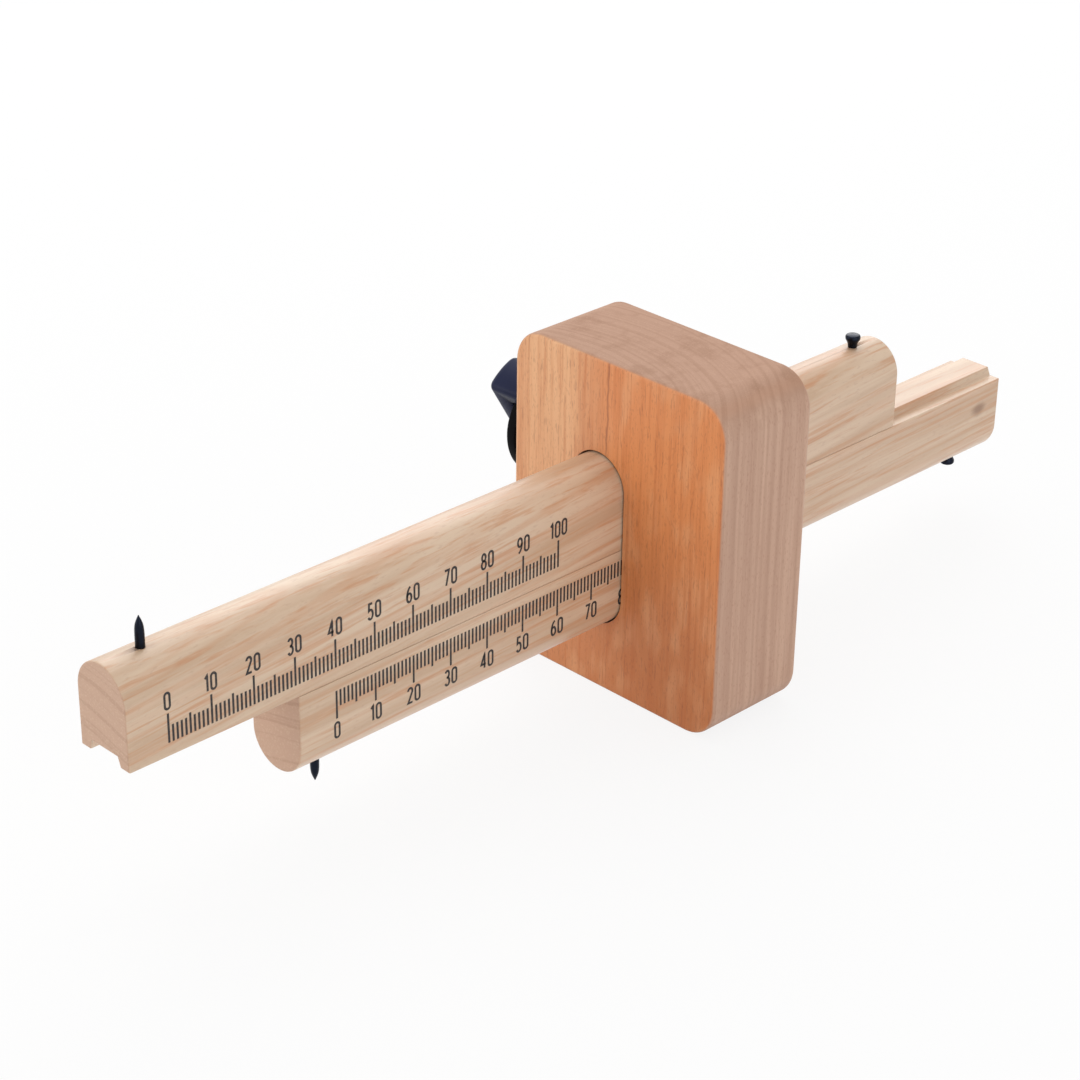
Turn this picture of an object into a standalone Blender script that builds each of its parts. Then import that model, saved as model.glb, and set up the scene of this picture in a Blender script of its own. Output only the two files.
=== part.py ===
"""Marking gauge in wood with a pair of arms that slide past each other through one fence, and a wing clamp.

Metres, +Z up. The origin is the centre of the fence's foot. The arms run along X, with their marking pins at the
-X end, and the clamp is on the +Y side. The gauge is modelled clamped, with the arms where they are set.
"""

import math

import bmesh
import bpy
from mathutils import Matrix, Vector

# Fits and cuts
SEAT_GAP = 0.0003
SLIDING_FIT = 0.0004
PIN_FIT = 0.0002
CUT_OVERRUN = 0.002

# Fence: the block that is held against the edge of the work
FENCE_THICKNESS = 0.026
FENCE_WIDTH = 0.060
FENCE_HEIGHT = 0.077
FENCE_CORNER_RADIUS = 0.008
FENCE_ARRIS = 0.0007
ARM_SIDE_OFFSET = 0.005
JOINT_HEIGHT = 0.0355

# Arms: two bars with a tongue and groove between them and a full round on their outer edges
ARM_LENGTH = 0.2185
ARM_THICKNESS = 0.0145
UPPER_ARM_HEIGHT = 0.020
LOWER_ARM_HEIGHT = 0.0195
ARM_ARRIS = 0.0003
GROOVE_MOUTH = 0.0092
GROOVE_CEILING = 0.0076
GROOVE_DEPTH = 0.0021
UPPER_ARM_REACH = 0.1187
LOWER_ARM_REACH = 0.0787

# Marking pins and stop pins
PIN_TO_ARM_END = 0.0093
PIN_DIAMETER = 0.0019
PIN_PROUD = 0.0066
PIN_TAPER = 0.0042
PIN_POINT_DIAMETER = 0.0003
PIN_EMBEDDED = 0.012
STOP_TO_ARM_END = 0.0082
STOP_NECK_DIAMETER = 0.0024
STOP_HEAD_DIAMETER = 0.0032
STOP_PROUD = 0.0032
STOP_CROWN = 0.0006
STOP_SHANK_DIAMETER = 0.0019
STOP_EMBEDDED = 0.010

# Clamp: an M6 stud in a threaded insert, a pad that it pushes on the upper arm, and a wing knob on a collar
CLAMP_RISE = 0.014
SCREW_DIAMETER = 0.006
SCREW_NOSE_DIAMETER = 0.004
SCREW_NOSE_LENGTH = 0.0015
SCREW_END_CHAMFER = 0.0006
SCREW_IN_KNOB = 0.0038
INSERT_DIAMETER = 0.010
INSERT_SINK = 0.0004
INSERT_SLOT_WIDTH = 0.0014
INSERT_SLOT_DEPTH = 0.0016
PAD_DIAMETER = 0.0094
PAD_THICKNESS = 0.0032
PAD_ARRIS = 0.0004
CLAMP_TRAVEL = 0.002
COLLAR_STAND_OFF = 0.001
COLLAR_DIAMETER = 0.024
COLLAR_THICKNESS = 0.0028
COLLAR_ARRIS = 0.0004
WING_LIFT = 0.0004
KNOB_HEIGHT = 0.0086
KNOB_SPAN = 0.031
WING_TIP_WIDTH = 0.0092
WING_ROOT_WIDTH = 0.0104
WING_TIP_ROUND = 0.0014
WING_DRAFT = 0.0005
WING_EDGE_ROUND = 0.0018
WING_TURN = math.radians(34.0)

# Round stretches
ROUND_SEGMENTS = 32
ARC_SEGMENTS = 24
CORNER_SEGMENTS = 8
COLLAR_SEGMENTS = 64
TIP_SEGMENTS = 6
EDGE_SEGMENTS = 5
SMOOTH_ANGLE = math.radians(30.0)
BEVEL_ANGLE = math.radians(40.0)
POINT_SNAP = 0.000001

# Places that follow from the sizes above
FENCE_FRONT_X = -FENCE_THICKNESS / 2
FENCE_LEFT_Y = FENCE_WIDTH / 2
UPPER_PIN_X = FENCE_FRONT_X - UPPER_ARM_REACH
LOWER_PIN_X = FENCE_FRONT_X - LOWER_ARM_REACH
ARM_LEFT_Y = ARM_SIDE_OFFSET + ARM_THICKNESS / 2
CLAMP_AXIS_Z = JOINT_HEIGHT + CLAMP_RISE
PAD_INNER_Y = ARM_LEFT_Y + SEAT_GAP
PAD_OUTER_Y = PAD_INNER_Y + PAD_THICKNESS
INSERT_INNER_Y = PAD_OUTER_Y + CLAMP_TRAVEL + SEAT_GAP
INSERT_OUTER_Y = FENCE_LEFT_Y - INSERT_SINK
COLLAR_BASE_Y = FENCE_LEFT_Y + COLLAR_STAND_OFF
KNOB_BASE_Y = COLLAR_BASE_Y + WING_LIFT
CLAMP_BORE_RADIUS = INSERT_DIAMETER / 2 + SEAT_GAP


def clear_scene():
    for thing in list(bpy.data.objects):
        bpy.data.objects.remove(thing, do_unlink=True)


def material(name, colour, roughness, metallic=0.0):
    """A Principled material with one colour."""
    made = bpy.data.materials.new(name)
    made.use_nodes = True
    shader = made.node_tree.nodes["Principled BSDF"]
    shader.inputs["Base Color"].default_value = (*colour, 1.0)
    shader.inputs["Roughness"].default_value = roughness
    shader.inputs["Metallic"].default_value = metallic
    return made


def finish_mesh(bm, name):
    """Turns a bmesh into a mesh with its faces out and its round stretches smooth."""
    bmesh.ops.remove_doubles(bm, verts=bm.verts, dist=POINT_SNAP)
    bmesh.ops.recalc_face_normals(bm, faces=bm.faces)
    mesh = bpy.data.meshes.new(name)
    bm.to_mesh(mesh)
    bm.free()
    mesh.shade_smooth()
    mesh.set_sharp_from_angle(angle=SMOOTH_ANGLE)
    return mesh


def place(name, mesh, location, parent=None, surface=None):
    """Adds a piece with its origin at a world point, under an optional parent."""
    piece = bpy.data.objects.new(name, mesh)
    bpy.context.collection.objects.link(piece)
    piece.location = Vector(location)
    if parent:
        piece.parent = parent
        piece.location = Vector(location) - parent.location
    if surface:
        mesh.materials.append(surface)
    return piece


def joint_empty(name, location):
    """An empty on a joint's axis, which carries the pieces that move together."""
    empty = bpy.data.objects.new(name, None)
    bpy.context.collection.objects.link(empty)
    empty.location = Vector(location)
    return empty


def hide_cutter(cutter):
    cutter.hide_render = True
    cutter.display_type = "WIRE"


def cut(target, cutter):
    hide_cutter(cutter)
    step = target.modifiers.new(f"cut {cutter.name}", "BOOLEAN")
    step.operation = "DIFFERENCE"
    step.solver = "EXACT"
    step.object = cutter


def ease_edges(piece, width, segments=2):
    step = piece.modifiers.new("eased edges", "BEVEL")
    step.width = width
    step.segments = segments
    step.limit_method = "ANGLE"
    step.angle_limit = BEVEL_ANGLE


def arc(centre, radius, start, end, segments):
    """Points on an arc in a flat outline, from the start angle to the end angle."""
    turns = (start + (end - start) * step / segments for step in range(segments + 1))
    return [(centre[0] + radius * math.cos(turn), centre[1] + radius * math.sin(turn)) for turn in turns]


def prism(name, outline, start, length, axis="X"):
    """Extrudes a flat outline along an axis. The outline is (Y, Z) for X and (X, Z) for Y."""
    bm = bmesh.new()
    if axis == "X":
        corners = [bm.verts.new((start, across, up)) for across, up in outline]
        push = Vector((length, 0.0, 0.0))
    else:
        corners = [bm.verts.new((across, start, up)) for across, up in outline]
        push = Vector((0.0, length, 0.0))
    base = bm.faces.new(corners)
    grown = bmesh.ops.extrude_face_region(bm, geom=[base])
    moved = [part for part in grown["geom"] if isinstance(part, bmesh.types.BMVert)]
    bmesh.ops.translate(bm, verts=moved, vec=push)
    return finish_mesh(bm, name)


def turned(name, profile, axis, segments=ROUND_SEGMENTS):
    """Spins a profile of (radius, along) points about a direction through the origin."""
    bm = bmesh.new()
    line = [bm.verts.new((radius, 0.0, along)) for radius, along in profile]
    edges = [bm.edges.new(pair) for pair in zip(line, line[1:])]
    bmesh.ops.spin(
        bm, geom=line + edges, axis=(0.0, 0.0, 1.0), cent=(0.0, 0.0, 0.0), angle=math.tau, steps=segments,
        use_duplicate=False,
    )
    turn = Vector((0.0, 0.0, 1.0)).rotation_difference(Vector(axis)).to_matrix().to_4x4()
    bmesh.ops.transform(bm, matrix=turn, verts=bm.verts)
    return finish_mesh(bm, name)


def rounded_rectangle(width, height, radius):
    """A rectangle from its foot up, centred across, with round corners."""
    half = width / 2 - radius
    outline = []
    outline += arc((half, radius), radius, -math.pi / 2, 0.0, CORNER_SEGMENTS)
    outline += arc((half, height - radius), radius, 0.0, math.pi / 2, CORNER_SEGMENTS)
    outline += arc((-half, height - radius), radius, math.pi / 2, math.pi, CORNER_SEGMENTS)
    outline += arc((-half, radius), radius, math.pi, 3 * math.pi / 2, CORNER_SEGMENTS)
    return outline


def upper_arm_outline(grow=0.0):
    """Half of the stadium, above the joint plane. It grows all round for the mortise."""
    radius = ARM_THICKNESS / 2 + grow
    return arc((0.0, UPPER_ARM_HEIGHT - ARM_THICKNESS / 2), radius, 0.0, math.pi, ARC_SEGMENTS)


def lower_arm_outline(grow=0.0):
    """The other half of the stadium, below the joint plane."""
    radius = ARM_THICKNESS / 2 + grow
    return arc((0.0, ARM_THICKNESS / 2 - LOWER_ARM_HEIGHT), radius, math.pi, math.tau, ARC_SEGMENTS)


def marking_pin_profile():
    """Shank, then a long taper to the point. Zero is at the arm's crown."""
    shank = PIN_DIAMETER / 2
    return [
        (0.0, -PIN_EMBEDDED), (shank, -PIN_EMBEDDED), (shank, PIN_PROUD - PIN_TAPER),
        (PIN_POINT_DIAMETER / 2, PIN_PROUD), (0.0, PIN_PROUD),
    ]


def stop_pin_profile():
    """Shank in the wood and a head that widens to a low crown."""
    shank = STOP_SHANK_DIAMETER / 2
    head = STOP_HEAD_DIAMETER / 2
    rim = STOP_PROUD - STOP_CROWN
    return [
        (0.0, -STOP_EMBEDDED), (shank, -STOP_EMBEDDED), (shank, SEAT_GAP), (STOP_NECK_DIAMETER / 2, SEAT_GAP),
        (head, rim), (head - STOP_CROWN, STOP_PROUD), (0.0, STOP_PROUD),
    ]


def pin_hole(name, diameter, depth, location, direction):
    """A round cutter with its floor below the crown and its mouth above it."""
    radius = diameter / 2 + PIN_FIT
    floor = -depth - SEAT_GAP
    mouth = ARM_THICKNESS / 2 + CUT_OVERRUN
    profile = [(0.0, floor), (radius, floor), (radius, mouth), (0.0, mouth)]
    return place(name, turned(name, profile, direction, ARC_SEGMENTS), location)


def make_fence(wood):
    block = prism("fence", rounded_rectangle(FENCE_WIDTH, FENCE_HEIGHT, FENCE_CORNER_RADIUS), FENCE_FRONT_X,
                  FENCE_THICKNESS)
    fence = place("fence", block, (0.0, 0.0, 0.0), surface=wood)
    ease_edges(fence, FENCE_ARRIS)

    mortise_outline = upper_arm_outline(SLIDING_FIT) + lower_arm_outline(SLIDING_FIT)
    mortise = prism("mortise cutter", mortise_outline, FENCE_FRONT_X - CUT_OVERRUN, FENCE_THICKNESS + 2 * CUT_OVERRUN)
    cut(fence, place("mortise cutter", mortise, (0.0, ARM_SIDE_OFFSET, JOINT_HEIGHT)))

    bore_length = FENCE_LEFT_Y + CUT_OVERRUN - ARM_SIDE_OFFSET
    bore = [(0.0, 0.0), (CLAMP_BORE_RADIUS, 0.0), (CLAMP_BORE_RADIUS, bore_length), (0.0, bore_length)]
    bore_mesh = turned("clamp bore cutter", bore, (0.0, 1.0, 0.0))
    cut(fence, place("clamp bore cutter", bore_mesh, (0.0, ARM_SIDE_OFFSET, CLAMP_AXIS_Z)))
    return fence


def make_upper_arm(wood, steel):
    """Grooved arm with its marking pin and its stop pin on the crown."""
    crown_z = JOINT_HEIGHT + UPPER_ARM_HEIGHT
    slide = joint_empty("upper_arm_slide", (UPPER_PIN_X, ARM_SIDE_OFFSET, JOINT_HEIGHT))
    half = ARM_THICKNESS / 2
    bar = prism("upper_arm", [(-half, 0.0), (half, 0.0)] + upper_arm_outline(), -PIN_TO_ARM_END, ARM_LENGTH)
    arm = place("upper_arm", bar, slide.location, slide, wood)
    ease_edges(arm, ARM_ARRIS, 1)

    ceiling = GROOVE_CEILING / 2
    below = GROOVE_MOUTH - ceiling
    groove = [(-below, -GROOVE_DEPTH), (below, -GROOVE_DEPTH), (ceiling, GROOVE_DEPTH), (-ceiling, GROOVE_DEPTH)]
    groove_mesh = prism("groove cutter", groove, -PIN_TO_ARM_END - CUT_OVERRUN, ARM_LENGTH + 2 * CUT_OVERRUN)
    cut(arm, place("groove cutter", groove_mesh, slide.location))

    up = (0.0, 0.0, 1.0)
    pin_at = (UPPER_PIN_X, ARM_SIDE_OFFSET, crown_z)
    stop_at = (UPPER_PIN_X - PIN_TO_ARM_END + ARM_LENGTH - STOP_TO_ARM_END, ARM_SIDE_OFFSET, crown_z)
    cut(arm, pin_hole("upper pin hole", PIN_DIAMETER, PIN_EMBEDDED, pin_at, up))
    cut(arm, pin_hole("upper stop hole", STOP_SHANK_DIAMETER, STOP_EMBEDDED, stop_at, up))
    place("upper_marking_pin", turned("upper_marking_pin", marking_pin_profile(), up), pin_at, slide, steel)
    place("upper_stop_pin", turned("upper_stop_pin", stop_pin_profile(), up), stop_at, slide, steel)


def make_lower_arm(wood, steel):
    """Tongued arm with its marking pin and its stop pin on the underside."""
    crown_z = JOINT_HEIGHT - LOWER_ARM_HEIGHT
    slide = joint_empty("lower_arm_slide", (LOWER_PIN_X, ARM_SIDE_OFFSET, JOINT_HEIGHT))
    half = ARM_THICKNESS / 2
    root = GROOVE_MOUTH / 2 - SEAT_GAP
    top = GROOVE_CEILING / 2 - SEAT_GAP
    tongue_top = GROOVE_DEPTH - SEAT_GAP
    shoulder = -SEAT_GAP
    outline = lower_arm_outline()
    outline += [(half, shoulder), (root, shoulder), (top, tongue_top), (-top, tongue_top), (-root, shoulder)]
    outline += [(-half, shoulder)]
    bar = prism("lower_arm", outline, -PIN_TO_ARM_END, ARM_LENGTH)
    arm = place("lower_arm", bar, slide.location, slide, wood)
    ease_edges(arm, ARM_ARRIS, 1)

    down = (0.0, 0.0, -1.0)
    pin_at = (LOWER_PIN_X, ARM_SIDE_OFFSET, crown_z)
    stop_at = (LOWER_PIN_X - PIN_TO_ARM_END + ARM_LENGTH - STOP_TO_ARM_END, ARM_SIDE_OFFSET, crown_z)
    cut(arm, pin_hole("lower pin hole", PIN_DIAMETER, PIN_EMBEDDED, pin_at, down))
    cut(arm, pin_hole("lower stop hole", STOP_SHANK_DIAMETER, STOP_EMBEDDED, stop_at, down))
    place("lower_marking_pin", turned("lower_marking_pin", marking_pin_profile(), down), pin_at, slide, steel)
    place("lower_stop_pin", turned("lower_stop_pin", stop_pin_profile(), down), stop_at, slide, steel)


def make_threaded_insert(brass):
    """Brass sleeve in the fence, with a driver's slot across its outer end."""
    outer = INSERT_DIAMETER / 2
    inner = SCREW_DIAMETER / 2 + SEAT_GAP
    length = INSERT_OUTER_Y - INSERT_INNER_Y
    profile = [(inner, 0.0), (outer, 0.0), (outer, length), (inner, length), (inner, 0.0)]
    at = (0.0, INSERT_INNER_Y, CLAMP_AXIS_Z)
    insert = place("threaded_insert", turned("threaded_insert", profile, (0.0, 1.0, 0.0)), at, surface=brass)

    half = INSERT_SLOT_WIDTH / 2
    side = outer + CUT_OVERRUN
    slot = [(-side, -half), (side, -half), (side, half), (-side, half)]
    slot_mesh = prism("driver slot cutter", slot, length - INSERT_SLOT_DEPTH, INSERT_SLOT_DEPTH + CUT_OVERRUN, "Y")
    cut(insert, place("driver slot cutter", slot_mesh, at))


def make_pressure_pad(brass):
    """Disc that the stud pushes on the upper arm, with a socket for the stud's nose. It slides but doesn't turn."""
    slide = joint_empty("clamp_pad_slide", (0.0, PAD_INNER_Y, CLAMP_AXIS_Z))
    rim = PAD_DIAMETER / 2
    socket = SCREW_NOSE_DIAMETER / 2 + SEAT_GAP
    floor = PAD_THICKNESS - SCREW_NOSE_LENGTH
    profile = [
        (0.0, 0.0), (rim - PAD_ARRIS, 0.0), (rim, PAD_ARRIS), (rim, PAD_THICKNESS), (socket, PAD_THICKNESS),
        (socket, floor), (0.0, floor),
    ]
    place("pressure_pad", turned("pressure_pad", profile, (0.0, 1.0, 0.0)), slide.location, slide, brass)
    return slide


def make_clamp_stud(steel, turn):
    """M6 stud from the pad's socket to its seat in the knob."""
    radius = SCREW_DIAMETER / 2
    nose = SCREW_NOSE_DIAMETER / 2
    start = PAD_OUTER_Y - SCREW_NOSE_LENGTH + SEAT_GAP
    shoulder = PAD_OUTER_Y + SEAT_GAP
    end = COLLAR_BASE_Y + COLLAR_THICKNESS + SCREW_IN_KNOB
    profile = [
        (0.0, start), (nose, start), (nose, shoulder), (radius - SCREW_END_CHAMFER, shoulder),
        (radius, shoulder + SCREW_END_CHAMFER), (radius, end), (0.0, end),
    ]
    base = turn.location.y
    moved = [(across, along - base) for across, along in profile]
    place("clamp_stud", turned("clamp_stud", moved, (0.0, 1.0, 0.0)), turn.location, turn, steel)


def make_knob_collar(plastic, turn):
    """Round collar under the wings, which turns on the stud with them."""
    inner = SCREW_DIAMETER / 2 + SEAT_GAP
    outer = COLLAR_DIAMETER / 2
    profile = [
        (inner, 0.0), (outer - COLLAR_ARRIS, 0.0), (outer, COLLAR_ARRIS), (outer, COLLAR_THICKNESS - COLLAR_ARRIS),
        (outer - COLLAR_ARRIS, COLLAR_THICKNESS), (inner, COLLAR_THICKNESS), (inner, 0.0),
    ]
    collar = turned("knob_collar", profile, (0.0, 1.0, 0.0), COLLAR_SEGMENTS)
    place("knob_collar", collar, (0.0, COLLAR_BASE_Y, CLAMP_AXIS_Z), turn, plastic)


def wing_tip(inset):
    """One wing's end, from its lower side round to its upper side, drawn in by an inset from the full outline."""
    reach = KNOB_SPAN / 2 - inset
    half = WING_TIP_WIDTH / 2 - inset
    centre_reach = reach - WING_TIP_ROUND
    turn = math.asin((half - WING_TIP_ROUND) / centre_reach)
    corner = (centre_reach * math.cos(turn), half - WING_TIP_ROUND)
    lower_round = arc((corner[0], -corner[1]), WING_TIP_ROUND, -math.pi / 2, -turn, TIP_SEGMENTS)
    end = arc((0.0, 0.0), reach, -turn, turn, TIP_SEGMENTS)[1:-1]
    upper_round = arc(corner, WING_TIP_ROUND, turn, math.pi / 2, TIP_SEGMENTS)
    return lower_round + end + upper_round


def knob_outline(inset):
    """Both wings, which are widest at the stud and taper to their tips."""
    tip = wing_tip(inset)
    root = WING_ROOT_WIDTH / 2 - inset
    return tip + [(0.0, root)] + [(-across, -up) for across, up in tip] + [(0.0, -root)]


def knob_levels():
    """Heights over the knob's base with the outline's inset there: draft on the sides, then a rounded outer edge."""
    side_top = KNOB_HEIGHT - WING_EDGE_ROUND
    levels = [(0.0, WING_DRAFT), (side_top, 0.0)]
    for step in range(1, EDGE_SEGMENTS + 1):
        turn = math.pi / 2 * step / EDGE_SEGMENTS
        rise = WING_EDGE_ROUND * math.sin(turn)
        levels.append((side_top + rise, WING_EDGE_ROUND * (1.0 - math.cos(turn))))
    return levels


def make_wing_knob(plastic, turn):
    """Bar of two wings over the collar, lofted through its levels, with a collar recess and a blind stud seat."""
    bm = bmesh.new()
    rings = []
    for along, inset in knob_levels():
        rings.append([bm.verts.new((across, along, up)) for across, up in knob_outline(inset)])
    for low, high in zip(rings, rings[1:]):
        edges = [bm.edges.get(pair) or bm.edges.new(pair) for ring in (low, high)
                 for pair in zip(ring, ring[1:] + ring[:1])]
        bmesh.ops.bridge_loops(bm, edges=edges)
    bm.faces.new(rings[0])
    bm.faces.new(rings[-1])
    wing_up = Matrix.Rotation(-math.pi / 2 - WING_TURN, 4, "Y")
    bmesh.ops.transform(bm, matrix=wing_up, verts=bm.verts)
    at = (0.0, KNOB_BASE_Y, CLAMP_AXIS_Z)
    knob = place("wing_knob", finish_mesh(bm, "wing_knob"), at, turn, plastic)

    recess = COLLAR_DIAMETER / 2 + SEAT_GAP
    recess_depth = COLLAR_THICKNESS - WING_LIFT + SEAT_GAP
    seat = SCREW_DIAMETER / 2 + SEAT_GAP
    depth = recess_depth + SCREW_IN_KNOB
    profile = [(0.0, -CUT_OVERRUN), (recess, -CUT_OVERRUN), (recess, recess_depth), (seat, recess_depth),
               (seat, depth), (0.0, depth)]
    seat_mesh = turned("collar and stud seat cutter", profile, (0.0, 1.0, 0.0), COLLAR_SEGMENTS)
    cut(knob, place("collar and stud seat cutter", seat_mesh, at))


def main():
    clear_scene()
    fence_wood = material("steamed beech", (0.52, 0.25, 0.12), 0.55)
    arm_wood = material("pale beech", (0.62, 0.44, 0.28), 0.5)
    steel = material("black steel", (0.02, 0.022, 0.03), 0.35, 0.8)
    bright_steel = material("zinc plated steel", (0.55, 0.56, 0.58), 0.3, 1.0)
    brass = material("brass", (0.62, 0.45, 0.18), 0.35, 1.0)
    navy = material("navy moulded plastic", (0.035, 0.045, 0.11), 0.35)
    black = material("black moulded plastic", (0.008, 0.008, 0.01), 0.4)

    make_fence(fence_wood)
    make_upper_arm(arm_wood, steel)
    make_lower_arm(arm_wood, steel)
    make_threaded_insert(brass)
    pad_slide = make_pressure_pad(brass)
    knob_turn = joint_empty("wing_knob_turn", pad_slide.location)
    make_clamp_stud(bright_steel, knob_turn)
    make_knob_collar(black, knob_turn)
    make_wing_knob(navy, knob_turn)


main()
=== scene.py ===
import math

import bmesh
import bpy
from bpy.props import FloatProperty, FloatVectorProperty, IntProperty, PointerProperty
from mathutils import Matrix, Quaternion, Vector


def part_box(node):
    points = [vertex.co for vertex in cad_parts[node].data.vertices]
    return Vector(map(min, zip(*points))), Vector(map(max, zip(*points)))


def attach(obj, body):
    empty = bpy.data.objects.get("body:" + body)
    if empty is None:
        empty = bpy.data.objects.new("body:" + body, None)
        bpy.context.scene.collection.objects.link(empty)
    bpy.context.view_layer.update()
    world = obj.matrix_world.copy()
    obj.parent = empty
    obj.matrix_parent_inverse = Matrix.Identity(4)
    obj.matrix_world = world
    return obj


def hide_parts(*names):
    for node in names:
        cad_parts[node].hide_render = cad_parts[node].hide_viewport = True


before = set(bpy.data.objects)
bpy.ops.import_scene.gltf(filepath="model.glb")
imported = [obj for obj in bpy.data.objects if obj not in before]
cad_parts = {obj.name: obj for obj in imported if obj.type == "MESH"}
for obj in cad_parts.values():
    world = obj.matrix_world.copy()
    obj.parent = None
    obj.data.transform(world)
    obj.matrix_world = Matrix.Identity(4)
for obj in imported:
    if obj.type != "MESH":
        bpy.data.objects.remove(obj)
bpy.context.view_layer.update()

bl_info = {
    "name": "Marking gauge",
    "version": (1, 0, 0),
    "blender": (4, 5, 0),
    "location": "View3D > Sidebar > Gauge",
    "description": "Dresses a wooden marking gauge with its finished pieces, its printed scales and a studio",
    "category": "Add Mesh",
}

# Places read from the frame, in metres
FENCE_LOW, FENCE_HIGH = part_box("fence")
UPPER_LOW, UPPER_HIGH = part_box("upper_arm")
LOWER_LOW, LOWER_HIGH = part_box("lower_arm")
INSERT_LOW, INSERT_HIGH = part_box("threaded_insert")
PAD_LOW, PAD_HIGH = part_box("pressure_pad")
STUD_LOW, STUD_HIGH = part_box("clamp_stud")
COLLAR_LOW, COLLAR_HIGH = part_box("knob_collar")
KNOB_LOW, KNOB_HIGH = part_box("wing_knob")
UPPER_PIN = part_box("upper_marking_pin")
LOWER_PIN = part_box("lower_marking_pin")
UPPER_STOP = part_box("upper_stop_pin")
LOWER_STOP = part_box("lower_stop_pin")

JOINT_Z = UPPER_LOW.z
ARM_HALF = (UPPER_HIGH.y - UPPER_LOW.y) / 2
ARM_Y = (UPPER_LOW.y + UPPER_HIGH.y) / 2
CLAMP_X = (STUD_LOW.x + STUD_HIGH.x) / 2
CLAMP_Z = (STUD_LOW.z + STUD_HIGH.z) / 2
STUD_RADIUS = (STUD_HIGH.x - STUD_LOW.x) / 2
COLLAR_RADIUS = (COLLAR_HIGH.x - COLLAR_LOW.x) / 2
PIN_RADIUS = (UPPER_PIN[1].x - UPPER_PIN[0].x) / 2

CUT_OVERRUN = 0.002
SMOOTH_ANGLE = math.radians(35.0)
EASE_ANGLE = math.radians(40.0)
SNAP = 0.000001
EASY_FIT = 0.0003
KNOT_LENGTH = 1 / 190
KNOT_HEIGHT = 1 / 330
ROUND_SEGMENTS = 96
ARC_SEGMENTS = 64
RIM_SEGMENTS = 160
CORNER_SEGMENTS = 24
HOLE_SEGMENTS = 32
PIN_SEGMENTS = 48

# Strokes of a narrow upright sans, in numeral heights: the width between a numeral's outer strokes, and its strokes
NUMERALS = (
    (0.30, [[(0.15, 0.72, 0.15, 0.16, 180, 0), (0.15, 0.16, 0.15, 0.16, 0, -180), (0.0, 0.72)]]),
    (0.16, [[(0.0, 0.72), (0.14, 0.88), (0.14, 0.0)]]),
    (0.30, [[(0.15, 0.70, 0.15, 0.18, 175, -35), (0.0, 0.0), (0.31, 0.0)]]),
    (0.29, [[(0.14, 0.675, 0.13, 0.205, 155, -90), (0.10, 0.47)],
            [(0.10, 0.47), (0.14, 0.235, 0.15, 0.235, 90, -155)]]),
    (0.32, [[(0.24, 0.0), (0.24, 0.88), (0.0, 0.24), (0.33, 0.24)]]),
    (0.29, [[(0.27, 0.88), (0.05, 0.88), (0.03, 0.49), (0.13, 0.27, 0.16, 0.27, 112, -150)]]),
    (0.30, [[(0.15, 0.25, 0.15, 0.25, 180, -180)], [(0.30, 0.28, 0.30, 0.60, 102, 178)]]),
    (0.29, [[(0.0, 0.88), (0.29, 0.88), (0.09, 0.0)]]),
    (0.30, [[(0.15, 0.235, 0.155, 0.235, 90, -270)], [(0.15, 0.675, 0.13, 0.205, 90, -270)]]),
    (0.30, [[(0.15, 0.63, 0.15, 0.25, 0, -360)], [(0.0, 0.60, 0.30, 0.60, -78, -2)]]),
)

# Socket numbers of a colour Mix node
MIX_FACTOR = 0
MIX_A = 6
MIX_B = 7
MIX_RESULT = 2


def paint(hex_value):
    """sRGB hex colour as linear red, green and blue."""
    parts = [int(hex_value[start:start + 2], 16) / 255 for start in (1, 3, 5)]
    return tuple(part / 12.92 if part <= 0.04045 else ((part + 0.055) / 1.055) ** 2.4 for part in parts)


def number(default, description, **limits):
    return FloatProperty(default=default, description=description, min=0.0, **limits)


def length(default, description):
    return number(default, description, unit="LENGTH", precision=5)


def colour(hex_value, description):
    return FloatVectorProperty(default=paint(hex_value), description=description, subtype="COLOR", size=3, min=0.0,
                               max=1.0)


class GaugeFence(bpy.types.PropertyGroup):
    corner: length(0.008, "Round on the fence's four long corners")
    arris: length(0.0008, "Eased edge round both faces")
    mortise_fit: length(0.0004, "Clearance round the arms in the mortise")
    mouth_arris: length(0.00015, "Eased edge of the mortise's mouth")
    # Pale and deep are partly the wood's own tone and partly painted light: the clamp side of the broad faces is
    # painted paler, as if lit brighter
    pale: colour("#E2AC7E", "Broad faces towards the clamp")
    deep: colour("#DA8A52", "Broad faces beyond the middle")
    # Painted shade: the broad faces brown and darken towards the foot, where less light falls
    heart: colour("#BE723E", "Browner wood near the foot")
    streak: colour("#BC6936", "Narrow streaks along the grain")
    vessel: colour("#874A30", "Short dark vessel lines")
    side: colour("#C9A38B", "Early wood on the narrow side faces")
    side_line: colour("#A98069", "Late wood on the narrow side faces")
    end: colour("#B8917A", "End grain on the top and the foot")
    end_ring: colour("#A0785F", "Late wood in the end grain")


class GaugeArms(bpy.types.PropertyGroup):
    arris: length(0.00035, "Eased edge round both arms' ends")
    long_share: number(0.3, "Ease of the long corners as a share of the arris", max=1.0)
    groove_mouth: length(0.0092, "Width of the groove at the joint plane")
    groove_ceiling: length(0.0076, "Width of the groove at its bottom")
    groove_depth: length(0.0021, "Depth of the groove")
    running_fit: length(0.00008, "Clearance of the tongue in the groove")
    pin_hole_fit: length(0.00005, "Clearance round each driven pin")
    pale: colour("#D8BEA3", "Ground colour of the arms")
    deep: colour("#C8A88A", "Late wood of the arms")
    streak: colour("#C4875B", "Orange-tan streaks along the arms")
    end: colour("#BE9A82", "End grain of the arms")
    end_ring: colour("#AB866D", "Late wood in the end grain")
    knot: colour("#8C6549", "Small knot near the lower arm's far end")
    upper_lean: number(0.075, "Slope of the upper arm's grain", subtype="ANGLE")
    lower_lean: number(0.03, "Slope of the lower arm's grain", subtype="ANGLE")


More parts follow.
